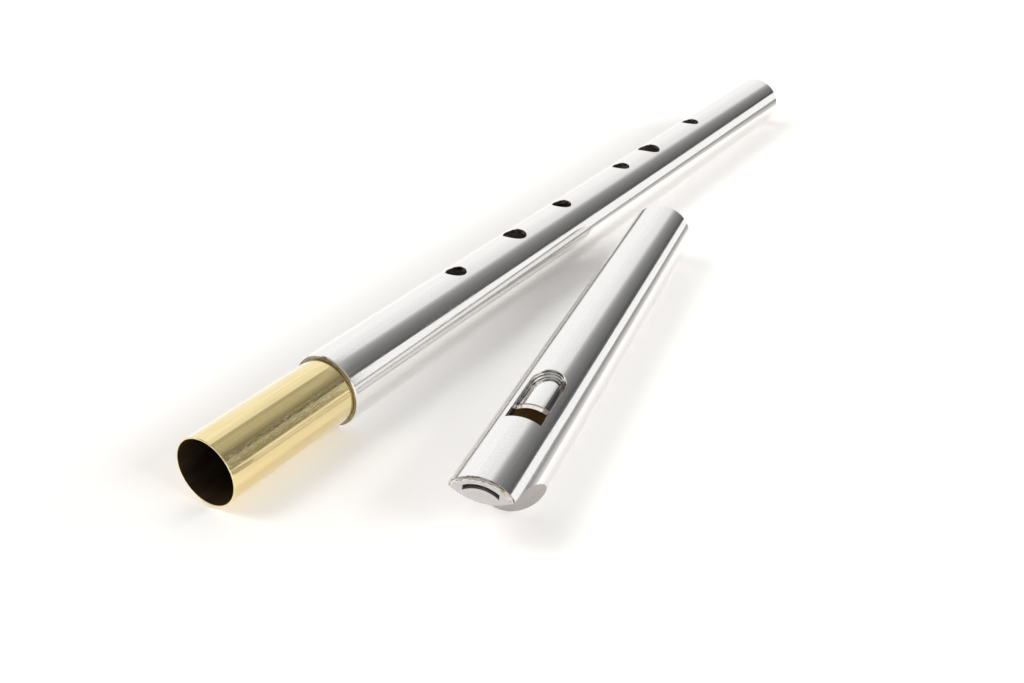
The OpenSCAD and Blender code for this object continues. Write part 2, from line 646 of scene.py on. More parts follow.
@dataclass(frozen=True)
class WornBrass(Finish):
    """Polished brass rubbed by the head that slides on and off it."""

    seed: float = 11.0
    bright: Colour = (0.94, 0.77, 0.39, 1.0)
    metal: Metal = Metal(rough=0.06, bump=0.14, coat=1.0)
    worn_at: float = -10.4
    worn_peak: float = 1.4
    worn_fall: float = 0.4
    scratch_offset: float = 31.0
    scratch_width: float = 0.014
    scratch_shine: float = 0.15
    band_shine: float = 0.6
    scuff_shine: float = 0.5
    scuffs: Grain = Grain(0.45, 2.6, offset=13.0, octaves=4.0, finer=0.75, low=0.5, high=0.6)
    rubs: Grain = Grain(0.05, 0.22, offset=17.0, octaves=1.0, low=0.3, high=0.5)
    tarnish: Grain = Grain(0.05, 0.5, offset=2.0, octaves=4.0, finer=0.65, low=0.42, high=0.66)
    drawing: Grain = Grain(0.012, 2.4, offset=29.0)
    drawing_stops: tuple[Stop, ...] = ((0.29, 0.6), (0.36, 0.0))
    dulled: Mark = Mark((0.80, 0.62, 0.28, 1.0), 0.35, rough=0.05)
    drawn: Mark = Mark((0.42, 0.33, 0.15, 1.0))
    shining: Mark = Mark((0.97, 0.90, 0.66, 1.0))
    lined: Mark = Mark(rough=0.05, height=0.5)
    scratched: Mark = Mark(rough=0.15, height=-0.6)
    scuffed: Mark = Mark(rough=0.16, height=0.5)

    def shader(self, net: Net) -> Sock:
        """The finish's surface shader.

        Args:
            net: the material's tree.

        Returns:
            The surface shader.
        """
        tube, seed = self.tube(net), self.seed
        marks = self.scratches(net, tube, seed + self.scratch_offset, self.scratch_width)
        away = net.math("ABSOLUTE", tube.round - self.worn_at)
        band = net.clip(self.worn_peak - away * self.worn_fall)
        scuffs = self.scuffs.mask(net, tube, seed) * self.rubs.mask(net, tube, seed) * band
        shine = marks * (self.scratch_shine + band * self.band_shine) + scuffs * self.scuff_shine
        return self.surface(net, self.bright, self.metal, (
            (self.tarnish.mask(net, tube, seed), self.dulled),
            (net.ramp(self.drawing.noise(net, tube, seed), self.drawing_stops), self.drawn),
            (shine, self.shining),
            (self.hairlines(net, tube, seed), self.lined),
            (marks, self.scratched),
            (scuffs, self.scuffed),
        ))


@dataclass(frozen=True)
class DarkBore(Finish):
    """Unpolished inside of a tube, made darker by breath; in the brass sleeve near black, dark oxide
    deepened with painted shade.
    """

    light: Colour = (0.84, 0.77, 0.72, 1.0)
    dark: Colour = (0.52, 0.47, 0.44, 1.0)
    metallic: float = 0.1
    hair_seed: float = 6.0
    stains: Grain = Grain(0.05, 0.2, offset=4.0, octaves=4.0, finer=0.6, low=0.35, high=0.7)
    stained: Mark = Mark(rough=0.2)
    lined: Mark = Mark(height=1.0)

    def shader(self, net: Net) -> Sock:
        """The finish's surface shader.

        Args:
            net: the material's tree.

        Returns:
            The surface shader.
        """
        tube = self.tube(net)
        stain = self.stains.noise(net, tube)
        return self.surface(net, self.dark, Metal(rough=0.45, bump=0.2, metallic=self.metallic), (
            (net.band(stain, self.stains.low, self.stains.high), Mark(self.light)),
            (stain, self.stained),
            (self.hairlines(net, tube, self.hair_seed), self.lined),
        ))


# True walls for smooth shading


def from_axis(p: Array) -> Array:
    """How far each point is from the tube's axis."""
    return np.hypot(p[:, 1], p[:, 2])


class Wall:
    """An exact surface of a tube's own frame that gives smooth normals. Lengths are in mm."""

    def gap(self, p: Array) -> Array:
        """How far each point is from the wall."""
        raise NotImplementedError

    def normal(self, p: Array) -> Array:
        """Unit normals at the points."""
        raise NotImplementedError


@dataclass(frozen=True)
class Barrel(Wall):
    """Round wall about the tube's axis, whose radius runs evenly from one end to the other."""

    x0: float
    r0: float
    x1: float
    r1: float

    def gap(self, p: Array) -> Array:
        """How far each point is from the wall.

        Args:
            p: the points, one in each row.

        Returns:
            The distances.
        """
        run, rise = self.x1 - self.x0, self.r1 - self.r0
        long = math.hypot(run, rise)
        off = ((from_axis(p) - self.r0) * run - (p[:, 0] - self.x0) * rise) / long
        beyond = np.maximum(self.x0 - p[:, 0], p[:, 0] - self.x1)
        return np.maximum(np.abs(off), np.maximum(beyond, 0.0))

    def normal(self, p: Array) -> Array:
        """Unit normals at the points.

        Args:
            p: the points, one in each row.

        Returns:
            The normals, one in each row.
        """
        run, rise = self.x1 - self.x0, self.r1 - self.r0
        out = np.maximum(from_axis(p), TINY)
        n = np.stack([np.full(len(p), -rise), run * p[:, 1] / out, run * p[:, 2] / out], 1)
        return n / math.hypot(run, rise)


@dataclass(frozen=True)
class Drilled(Wall):
    """Round wall of a hole drilled across the tube, rolled about the tube's axis."""

    x: float
    r: float
    roll: float = 0.0

    def _across(self, p: Array) -> Array:
        """From the hole's axis to each point, across the hole.

        Args:
            p: the points, one in each row.

        Returns:
            The vectors, one in each row.
        """
        c, s = math.cos(math.radians(self.roll)), math.sin(math.radians(self.roll))
        side = p[:, 1] * c + p[:, 2] * s
        return np.stack([p[:, 0] - self.x, side * c, side * s], 1)

    def gap(self, p: Array) -> Array:
        """How far each point is from the wall."""
        return np.abs(np.linalg.norm(self._across(p), axis=1) - self.r)

    def normal(self, p: Array) -> Array:
        """Unit normals at the points."""
        d = self._across(p)
        return d / np.maximum(np.linalg.norm(d, axis=1), TINY)[:, None]


@dataclass(frozen=True)
class Scooped(Wall):
    """Hollow wall left by a wheel with a rounded-in rim, turned about a line across the tube."""

    z: float
    ring: float
    rim: float

    def _to_ring(self, p: Array) -> tuple[Array, Array]:
        """From the nearest point of the rim's centre circle to each point, and its length.

        Args:
            p: the points, one in each row.

        Returns:
            The vectors, one in each row, and their lengths.
        """
        flat = np.stack([p[:, 0], np.zeros(len(p)), p[:, 2] - self.z], 1)
        away = flat / np.maximum(np.linalg.norm(flat, axis=1), TINY)[:, None]
        d = p - (away * self.ring + np.array([0.0, 0.0, self.z]))
        return d, np.linalg.norm(d, axis=1)

    def gap(self, p: Array) -> Array:
        """How far each point is from the wall."""
        return np.abs(self._to_ring(p)[1] - self.rim)

    def normal(self, p: Array) -> Array:
        """Unit normals at the points."""
        d, long = self._to_ring(p)
        return d / np.maximum(long, TINY)[:, None]


# Meshes by Geometry Nodes


class Tree:
    """A Geometry Nodes tree built in the script, with named inputs."""

    def __init__(self, name: str, inputs: Sequence[tuple[str, str, object]]) -> None:
        """Makes the tree and its sockets.

        Args:
            name: the tree's name.
            inputs: each input's name, socket type and default value.
        """
        self.group = bpy.data.node_groups.new(name, "GeometryNodeTree")
        self.net = Net(self.group)
        face = self.group.interface
        face.new_socket("Geometry", in_out="INPUT", socket_type="NodeSocketGeometry")
        face.new_socket("Geometry", in_out="OUTPUT", socket_type="NodeSocketGeometry")
        self.keys: dict[str, str] = {}
        for label, kind, value in inputs:
            made = face.new_socket(label, in_out="INPUT", socket_type=kind)
            if value is not None:
                made.default_value = value
            self.keys[label] = made.identifier
        self.start = self.group.nodes.new("NodeGroupInput")

    def given(self, label: str) -> Sock:
        """A named input's socket inside the tree."""
        return Sock(self.net, self.start.outputs[label])

    def end(self, geometry: Sock) -> "Tree":
        """Ends the tree in Realize Instances and Set Material.

        Args:
            geometry: what the tree has made.

        Returns:
            The tree itself.
        """
        real = self.net.node("GeometryNodeRealizeInstances", {0: geometry})
        dress = {0: real, "Material": self.given("Finish")}
        dressed = self.net.node("GeometryNodeSetMaterial", dress)
        self.net.node("NodeGroupOutput", {0: dressed})
        return self

    def bake(self, start: Mesh, values: Mapping[str, object]) -> Mesh:
        """Runs the tree on a mesh and gives the result as a plain mesh.

        Args:
            start: the mesh that goes in.
            values: what is set on the named inputs.

        Returns:
            The plain mesh.
        """
        host = linked("forming", start)
        run = host.modifiers.new("form", "NODES")
        run.node_group = self.group
        for label, value in values.items():
            run[self.keys[label]] = value
        graph = bpy.context.evaluated_depsgraph_get()
        made = bpy.data.meshes.new_from_object(
            host.evaluated_get(graph), preserve_all_data_layers=True, depsgraph=graph
        )
        bpy.data.objects.remove(host)
        return made


FINISH_INPUT = ("Finish", "NodeSocketMaterial", None)


def lathe_tree() -> Tree:
    """The tree that turns a profile, drawn as x along and y out, about the X axis.

    Returns:
        The tree, with the inputs Around, Carrier and Finish.
    """
    around = ("Around", "NodeSocketInt", 192)
    tree = Tree("turned_tube", [around, ("Carrier", "NodeSocketFloat", 10.0), FINISH_INPUT])
    net, carrier, quarter = tree.net, tree.given("Carrier"), math.pi / 2
    stand = {
        0: tree.given("Geometry"),
        "Rotation": (0.0, 0.0, -quarter),
        "Translation": net.join(carrier * -1.0, 0.0, 0.0),
    }
    moved = net.node("GeometryNodeTransform", stand)
    profile = net.node("GeometryNodeMeshToCurve", {0: moved})
    ring = {"Resolution": tree.given("Around"), "Radius": carrier}
    path = net.node("GeometryNodeCurvePrimitiveCircle", ring)
    swept = net.node("GeometryNodeCurveToMesh", {0: path, "Profile Curve": profile})
    laid = net.node("GeometryNodeTransform", {0: swept, "Rotation": (0.0, quarter, 0.0)})
    return tree.end(net.node("GeometryNodeMergeByDistance", {0: laid, "Distance": WELD}))


def drill_tree() -> Tree:
    """The tree that sets one drill on each point, as wide as the point's bore says.

    Returns:
        The tree, with the inputs Sides, Length, Roll and Finish.
    """
    inputs = [
        ("Sides", "NodeSocketInt", 96),
        ("Length", "NodeSocketFloat", 14.0),
        ("Roll", "NodeSocketFloat", 0.0),
        FINISH_INPUT,
    ]
    tree = Tree("finger_hole_drills", inputs)
    net, length = tree.net, tree.given("Length")
    shape = {"Vertices": tree.given("Sides"), "Radius": 1.0, "Depth": length}
    drill = net.node("GeometryNodeMeshCylinder", shape)
    lift = net.join(0.0, 0.0, length * 0.5)
    stood = net.node("GeometryNodeTransform", {0: drill, "Translation": lift})
    bore = net.node("GeometryNodeInputNamedAttribute", {"Name": "bore"}, data_type="FLOAT")
    placing = {
        "Points": tree.given("Geometry"),
        "Instance": stood,
        "Rotation": net.node("FunctionNodeEulerToRotation", {0: net.join(tree.given("Roll"), 0.0, 0.0)}),
        "Scale": net.join(bore, bore, 1.0),
    }
    return tree.end(net.node("GeometryNodeInstanceOnPoints", placing))


def edge_tree() -> Tree:
    """The tree that sweeps a four-sided cutter along rims, to bevel them evenly.

    Returns:
        The tree, with the inputs Leg and Finish.
    """
    tree = Tree("rim_bevels", [("Leg", "NodeSocketFloat", 0.15), FINISH_INPUT])
    net = tree.net
    path = net.node("GeometryNodeMeshToCurve", {0: tree.given("Geometry")})
    level = net.node("GeometryNodeSetCurveNormal", {0: path}, mode="Z_UP")
    square = {"Resolution": 4, "Radius": tree.given("Leg")}
    section = net.node("GeometryNodeCurvePrimitiveCircle", square)
    return tree.end(net.node("GeometryNodeCurveToMesh", {0: level, "Profile Curve": section}))


# Forming and laying pieces


def plain_mesh(
    name: str, points: Sequence[Point], edges: Sequence[tuple[int, int]], faces: Sequence[Sequence[int]] = ()
) -> Mesh:
    """A mesh from lists.

    Args:
        name: the mesh's name.
        points: its vertices.
        edges: its loose edges.
        faces: its faces.

    Returns:
        The mesh.
    """
    mesh = bpy.data.meshes.new(name)
    mesh.from_pydata(points, edges, faces)
    mesh.update()
    return mesh


def mend_normals(mesh: Mesh) -> Mesh:
    """Merges doubles and turns every face outwards.

    Args:
        mesh: the mesh, changed in place.

    Returns:
        The same mesh.
    """
    work = bmesh.new()
    work.from_mesh(mesh)
    bmesh.ops.remove_doubles(work, verts=work.verts, dist=WELD)
    bmesh.ops.dissolve_degenerate(work, dist=SLIVER, edges=work.edges)
    bmesh.ops.recalc_face_normals(work, faces=work.faces)
    work.to_mesh(mesh)
    work.free()
    return mesh


def boolean(body: Mesh, cutter: Mesh, operation: str = "DIFFERENCE") -> Mesh:
    """Cuts or crosses one closed mesh with another.

    Args:
        body: the mesh that is cut.
        cutter: the mesh that cuts.
        operation: the modifier's operation.

    Returns:
        A new mesh.
    """
    hosts = [linked("cutting", mesh) for mesh in (body, cutter)]
    cut = hosts[0].modifiers.new("cut", "BOOLEAN")
    cut.operation = operation
    cut.solver = "EXACT"
    cut.object = hosts[1]
    graph = bpy.context.evaluated_depsgraph_get()
    made = bpy.data.meshes.new_from_object(hosts[0].evaluated_get(graph))
    for host in hosts:
        bpy.data.objects.remove(host)
    return mend_normals(made)


def read(things: bpy.types.bpy_prop_collection, key: str, width: int = 1, kind: type = float) -> Array:
    """Reads one value of every element.

    Args:
        things: the vertices, corners or faces.
        key: the value's name.
        width: how many numbers it has.
        kind: the numbers' type.

    Returns:
        One row for each element, or one number where the width is 1.
    """
    found = np.empty(len(things) * width, kind)
    things.foreach_get(key, found)
    return found.reshape(-1, width) if width > 1 else found


@dataclass(frozen=True)
class Turned:
    """A turned form: the corners of its section as (x, r), closed round the section or from axis to axis."""

    corners: tuple[tuple[float, float], ...]
    solid: bool = False

    def mesh(self, tree: Tree, around: int = 192) -> Mesh:
        """Turns the section about the X axis.

        Args:
            tree: the turning tree.
            around: how many steps make the full turn.

        Returns:
            The closed mesh.
        """
        n = len(self.corners)
        edges = [(i, i + 1) for i in range(n - 1)] + ([] if self.solid else [(n - 1, 0)])
        start = plain_mesh("section", [(x, r, 0.0) for x, r in self.corners], edges)
        return mend_normals(tree.bake(start, {"Around": around}))

    def walls(self) -> list[Barrel]:
        """The exact wall of each corner-to-corner run that isn't flat.

        Returns:
            The walls.
        """
        n = len(self.corners)
        runs = []
        for i in range(n - 1 if self.solid else n):
            (x0, r0), (x1, r1) = self.corners[i], self.corners[(i + 1) % n]
            if x0 > x1:
                x0, r0, x1, r1 = x1, r1, x0, r0
            if x1 - x0 > SLIVER:
                runs.append(Barrel(x0, r0, x1, r1))
        return runs


@dataclass(frozen=True)
class Faces:
    """What is known of a piece's faces: centres, normals, and the number of each one's true wall, or -1."""

    centre: Array
    flat: Array
    which: Array

    @property
    def out(self) -> Array:
        """How far each centre is from the tube's axis."""
        return from_axis(self.centre)


@dataclass
class Piece:
    """One visible piece: its mesh in its tube's own frame, its true walls and its finishes."""

    name: str
    node: str
    body: str
    slot: Slot
    lie: Lie
    mesh: Mesh
    walls: list[Wall]
    finishes: list[Finish]
    choose: Callable[[Faces], Array] | None = None

    def lay(self) -> None:
        """Shades the mesh by its true walls, lays it in the row frame and gives it to its body."""
        mesh = self.mesh
        co, flat = read(mesh.vertices, "co", 3), read(mesh.polygons, "normal", 3)
        corner = read(mesh.loops, "vertex_index", kind=np.int32)
        first, total = (read(mesh.polygons, key, kind=np.int32) for key in ("loop_start", "loop_total"))
        count = len(first)
        centre = np.add.reduceat(co[corner], first) / total[:, None]
        owner = np.repeat(np.arange(count), total)
        normal, which = flat[owner].copy(), np.full(count, -1)
        best = np.full(count, FACING)
        for k, wall in enumerate(self.walls):
            worst = np.maximum.reduceat(wall.gap(co)[corner], first)
            side = (wall.normal(centre) * flat).sum(1)
            hit = (worst < ON_WALL) & (np.abs(side) > best)
            which[hit], best[hit] = k, np.abs(side)[hit]
            on = hit[owner]
            normal[on] = wall.normal(co[corner[on]]) * np.sign(side)[owner[on]][:, None]
        index = np.zeros(count, np.int32)
        if self.choose:
            index = self.choose(Faces(centre, flat, which)).astype(np.int32)
        mesh.materials.clear()
        for finish in self.finishes:
            mesh.materials.append(finish.material())
        mesh.polygons.foreach_set("material_index", index)
        mesh.polygons.foreach_set("use_smooth", np.ones(count, bool))
        place = self.lie.matrix()
        mesh.transform(place)
        spin = np.array(place.to_3x3().normalized())
        mesh.normals_split_custom_set((normal @ spin.T).tolist())
        mesh.update()
        made = linked(self.name, mesh)
        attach(made, self.body)
        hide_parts(self.node)
        LOG.info("%s: %d faces, %d on true walls", self.name, count, int((which >= 0).sum()))


# The whistle

FACED_LIGHT = (0.46, 0.42, 0.34, 1.0)
FACED_DARK = (0.20, 0.17, 0.12, 1.0)
# Near black for the brass sleeve's bore: dark oxide deepened with painted shade inside the tube.
SHADED_LIGHT = (0.05, 0.03, 0.012, 1.0)
SHADED_DARK = (0.012, 0.007, 0.004, 1.0)
# Golden brown for the windway's bore, which is seen through the window.
GOLDEN_LIGHT = (0.96, 0.80, 0.50, 1.0)
GOLDEN_DARK = (0.80, 0.64, 0.38, 1.0)


@dataclass(frozen=True)
class FingerHole:
    """One finger hole: how far from the foot, and how wide, in mm."""

    from_foot: float
    bore: float


@dataclass
class BodyTube:
    """The body tube with its six finger holes. Lengths are in mm."""

    length: float = 369.8
    outer: float = 12.7
    seat: float = 11.4
    seat_length: float = 40.2
    bore: float = 11.1
    edge: float = 0.35
    foot_edge: float = 0.4
    roll: float = -2.0
    rim: float = 0.14
    lie: Lie = Lie()
    holes: tuple[FingerHole, ...] = (
        FingerHole(295.0, 7.8),
        FingerHole(254.5, 9.3),
        FingerHole(217.5, 7.9),
        FingerHole(164.0, 7.6),
        FingerHole(135.5, 10.1),
        FingerHole(88.5, 7.9),
    )

    def section(self) -> Turned:
        """The tube's section, with the seat of the sleeve and the bevelled foot.

        Returns:
            The section, ready to turn.
        """
        e, f = self.edge, self.foot_edge
        return Turned((
            (0.0, self.seat), (0.0, self.outer - e), (e, self.outer),
            (self.length - e, self.outer), (self.length, self.outer - e),
            (self.length, self.bore + f), (self.length - f, self.bore),
            (self.seat_length, self.bore), (self.seat_length, self.seat),
        ))

    def drills(self) -> Mesh:
        """One drill for each finger hole, made by the drill tree.

        Returns:
            The drills in one mesh.
        """
        points = [(self.length - h.from_foot, 0.0, 0.0) for h in self.holes]
        start = plain_mesh("hole_places", points, [])
        bores = start.attributes.new("bore", "FLOAT", "POINT")
        bores.data.foreach_set("value", [h.bore / 2 for h in self.holes])
        return mend_normals(drill_tree().bake(start, {"Roll": math.radians(self.roll)}))

    def rims(self, steps: int = 96) -> Mesh:
        """The path round each hole's edge, which lies on the outside of the tube.

        Args:
            steps: how many steps go round each hole.

        Returns:
            The closed paths in one mesh.
        """
        points: list[Point] = []
        edges: list[tuple[int, int]] = []
        lean = math.radians(self.roll)
        for hole in self.holes:
            at, r, base = self.length - hole.from_foot, hole.bore / 2, len(points)
            for k in range(steps):
                a = 2 * math.pi * k / steps
                y = r * math.sin(a)
                z = math.sqrt(self.outer**2 - y * y)
                turned = (y * math.cos(lean) - z * math.sin(lean), y * math.sin(lean) + z * math.cos(lean))
                points.append((at + r * math.cos(a), *turned))
                edges.append((base + k, base + (k + 1) % steps))
        return plain_mesh("hole_rims", points, edges)

    def build(self, lathe: Tree, bevels: Tree) -> Piece:
        """Forms the tube.

        Args:
            lathe: the turning tree.
            bevels: the rim cutter tree.

        Returns:
            The piece, not yet laid.
        """
        form = self.section()
        mesh = boolean(form.mesh(lathe), self.drills())
        mesh = boolean(mesh, mend_normals(bevels.bake(self.rims(), {"Leg": self.rim})))
        holes = [Drilled(self.length - h.from_foot, h.bore / 2, self.roll) for h in self.holes]
        return self.dress(mesh, form, holes)

    def dress(self, mesh: Mesh, form: Turned, holes: Sequence[Wall]) -> Piece:
        """Gives the tube its finishes.

        Args:
            mesh: the formed tube.
            form: its turned section.
            holes: the walls of its finger holes.

        Returns:
            The piece.
        """
        walls = [*form.walls(), *holes]
        inside = self.seat + SKIN
        bright, dark, faced = range(3)

        def choose(faces: Faces) -> Array:
            """The dark finish in the bore, the faced one on both ends, the bright one elsewhere."""
            end = (np.abs(faces.flat[:, 0]) > SQUARE) & (faces.out > self.bore + SKIN)
            return np.where(end, faced, np.where(faces.out < inside, dark, bright))

        finishes = [
            PolishedAluminium("body_polish", self.lie, self.outer),
            DarkBore("body_bore_dark", self.lie, self.bore),
            TurnedEnd("body_end_turned", self.lie, self.outer, FACED_LIGHT, FACED_DARK),
        ]
        return Piece("body_tube_bright", "body_tube", "body", Slot.POLISHED, self.lie,
                     mesh, walls, finishes, choose)


@dataclass
class TuningSleeve:
    """The brass sleeve on which the head slides. Lengths are in mm."""

    outside: float = 53.2
    held: float = 40.0
    outer: float = 11.35
    wall: float = 0.45
    edge: float = 0.12
    groove: float = 0.8
    groove_depth: float = 0.12
    lie: Lie = Lie()

    def section(self) -> Turned:
        """The sleeve's section, with the fine groove at the body's end.

        Returns:
            The section, ready to turn.
        """
        e, r, g = self.edge, self.outer, self.groove / 2
        inner = r - self.wall
        return Turned((
            (-self.outside, inner), (-self.outside, r - e), (-self.outside + e, r),
            (-g, r), (0.0, r - self.groove_depth), (g, r),
            (self.held - e, r), (self.held, r - e), (self.held, inner),
        ))

    def build(self, lathe: Tree) -> Piece:
        """Forms and dresses the sleeve.

        Args:
            lathe: the turning tree.

        Returns:
            The piece, not yet laid.
        """
        form = self.section()
        inside = self.outer - self.wall + SKIN

        def choose(faces: Faces) -> Array:
            """The dark finish in the bore, brass elsewhere."""
            return faces.out < inside

        finishes = [
            WornBrass("sleeve_brass", self.lie, self.outer),
            DarkBore("sleeve_bore_dark", self.lie, self.outer, SHADED_LIGHT, SHADED_DARK),
        ]
        return Piece("tuning_sleeve_brass", "tuning_sleeve", "slide", Slot.BRASS, self.lie,
                     form.mesh(lathe), list(form.walls()), finishes, choose)


class Dress(IntEnum):
    """Where each finish stands in the list of a piece of the head."""

    BRIGHT = 0
    BORE = 1
    SATIN = 2
    CUT = 3
    LIP = 4


@dataclass
class Head:
    """The head: outer tube, windway sleeve and fipple plug. Lengths are in mm."""

    length: float = 206.0
    outer: float = 12.4
    bore: float = 11.4
    beak_edge: float = 0.7
    socket_edge: float = 0.25
    groove: float = 0.8
    groove_depth: float = 0.12
    window_at: float = 32.6
    window_width: float = 11.1
    window_length: float = 28.8
    mouth_gap: float = 9.7
    insert: float = 11.38
    roof: float = 10.2
    rear_bore: float = 9.2
    blade_edge: float = 0.2
    blade_bevel: float = 1.4
    sleeve_length: float = 95.0
    floor: float = 8.8
    windway_width: float = 10.7
    floor_bevel: float = 0.5
    plug: float = 10.18
    lip: float = 8.0
    scoop: float = 20.2
    scoop_cross: float = 16.5
    rim: float = 0.14
    joint: float = 0.09
    lie: Lie = Lie(x=-28.4, y=-77.2, z=-0.3, turn=11.7, roll=4.5)

    @property
    def arch(self) -> float:
        """Radius of the window's arch."""
        return self.window_width / 2

    @property
    def arch_at(self) -> float:
        """Where the arch's centre is."""
        return self.window_at + self.window_length - self.arch

    @property
    def blade_at(self) -> float:
        """Where the blade's edge is."""
        return self.window_at + self.mouth_gap

    def outline(self, steps: int = 48) -> list[tuple[float, float]]:
        """The window's outline seen from above, round from its front corner.

        Args:
            steps: how many steps make the arch.

        Returns:
            The corners as (x, y), in order.
        """
        a, w = self.arch_at, self.arch
        points = [(self.window_at, w), (self.window_at, -w)]
        for k in range(steps + 1):
            turn = -math.pi / 2 + math.pi * k / steps
            points.append((a + w * math.cos(turn), w * math.sin(turn)))
        return points

    def prism(self, outline: Sequence[tuple[float, float]], z0: float, z1: float) -> Mesh:
        """An upright prism.

        Args:
            outline: its outline from above.
            z0: its lower end.
            z1: its upper end.

        Returns:
            The closed mesh.
        """
        n = len(outline)
        points = [(x, y, z) for z in (z0, z1) for x, y in outline]
        sides = [(i, (i + 1) % n, n + (i + 1) % n, n + i) for i in range(n)]
        faces = [*sides, tuple(range(n)), tuple(range(n, 2 * n))]
        return mend_normals(plain_mesh("prism", points, [], faces))

    def scoop_cutter(self, lathe: Tree, steps: int = 40, around: int = 256) -> Mesh:
        """The wheel that scoops the beak from below.

        Args:
            lathe: the turning tree.
            steps: how many steps make the arc of its rim.
            around: how many steps make its full turn.

        Returns:
            The closed wheel.
        """
        ring, half = self.scoop + self.scoop_cross, self.outer + PAST / 2
        arc = [half * (2 * k / steps - 1) for k in range(steps + 1)]
        corners = [(-half, 0.0)]
        corners += [(y, ring - math.sqrt(self.scoop_cross**2 - y * y)) for y in arc]
        corners += [(half, 0.0)]
        wheel = Turned(tuple(corners), True).mesh(lathe, around)
        turn = Matrix.Rotation(math.pi / 2, 4, "Z")
        wheel.transform(Matrix.Translation((0.0, 0.0, self.scoop_z)) @ turn)
        return mend_normals(wheel)

    @property
    def scoop_z(self) -> float:
        """Height of the scooping wheel's axis."""
        return self.outer - self.lip - self.scoop

    def rims(self, bevels: Tree, *cuts: tuple[float, float]) -> list[Mesh]:
        """Cutters that bevel the window's edges: the radius of each edge and the leg of its bevel."""
        return [mend_normals(bevels.bake(self.window_rim(r), {"Leg": leg})) for r, leg in cuts]

    def cut_faces(self, faces: Faces, arch: int, above: float = 6.0, near: float = 0.1) -> Array:
        """Which faces are the upright walls of the window.

        Args:
            faces: the faces of one of its pieces.
            arch: the arch's number among the walls.
            above: the height over which the window lies, in mm.
            near: how far past the window's ends a face may lie, in mm.

        Returns:
            True on the window's walls.
        """
        along, high = faces.centre[:, 0], faces.centre[:, 2] > above
        within = high & (along > self.window_at - near) & (along < self.arch_at + near)
        straight = (np.abs(faces.flat[:, 1]) > SQUARE) | (np.abs(faces.flat[:, 0]) > SQUARE)
        return (faces.which == arch) | (within & straight)

    def window_walls(self) -> list[Wall]:
        """The round walls of the window and the scoop, which come last among a piece's walls.

        Returns:
            The arch's wall and the scoop's.
        """
        return [
            Drilled(self.arch_at, self.arch),
            Scooped(self.scoop_z, self.scoop + self.scoop_cross, self.scoop_cross),
        ]

    def window_rim(self, radius: float, front_steps: int = 24) -> Mesh:
        """The path round the window where it cuts a round wall.

        Args:
            radius: the wall's radius.
            front_steps: how many steps follow the front edge across the round.

        Returns:
            The closed path.
        """
        corners = self.outline()
        path: list[Point] = []
        for i, (x, y) in enumerate(corners):
            x1, y1 = corners[(i + 1) % len(corners)]
            steps = front_steps if i == 0 else 1
            for k in range(steps):
                u, v = x + (x1 - x) * k / steps, y + (y1 - y) * k / steps
                path.append((u, v, math.sqrt(radius**2 - v * v)))
        n = len(path)
        return plain_mesh("window_rim", path, [(i, (i + 1) % n) for i in range(n)])

    def build_tube(self, lathe: Tree, bevels: Tree, scoop: Mesh) -> Piece:
        """Forms and dresses the outer tube.

        Args:
            lathe: the turning tree.
            bevels: the rim cutter tree.
            scoop: the beak's cutter.

        Returns:
            The piece, not yet laid.
        """
        e, s, g, b = self.beak_edge, self.socket_edge, self.groove / 2, self.bore
        at = self.sleeve_length + self.groove
        form = Turned((
            (0.0, b), (0.0, self.outer - e), (e, self.outer),
            (self.length - s, self.outer), (self.length, self.outer - s),
            (self.length, b + s), (self.length - s, b),
            (at + g, b), (at, b + self.groove_depth), (at - g, b),
        ))
        mesh = form.mesh(lathe)
        cutters = [self.prism(self.outline(), 0.0, self.outer + PAST)]
        cutters += self.rims(bevels, (self.outer, self.rim), (b, self.joint))
        for cutter in (*cutters, scoop):
            mesh = boolean(mesh, cutter)
        walls = [*form.walls(), *self.window_walls()]
        inside, arch, scooped = b + self.groove_depth, len(walls) - 2, len(walls) - 1

        def choose(faces: Faces) -> Array:
            """Dark in the bore, satin in the scoop, milled in the window, turned on the lip, else bright.

            Args:
                faces: the tube's faces.

            Returns:
                The number of each face's finish.
            """
            made = np.where(faces.out < inside, Dress.BORE, Dress.BRIGHT)
            made = np.where((faces.centre[:, 0] < e) & (faces.out > inside), Dress.LIP, made)
            made = np.where(self.cut_faces(faces, arch), Dress.CUT, made)
            return np.where(faces.which == scooped, Dress.SATIN, made)

        finishes = [
            PolishedAluminium("head_polish", self.lie, self.outer, seed=2.0),
            DarkBore("head_bore_dark", self.lie, self.bore),
            SatinAluminium("beak_satin", self.lie, self.outer),
            CutAluminium("window_milled", self.lie, self.outer),
            TurnedEnd("lip_turned", self.lie, self.outer),
        ]
        return Piece("head_tube_bright", "head_tube", "head", Slot.POLISHED, self.lie,
                     mesh, walls, finishes, choose)

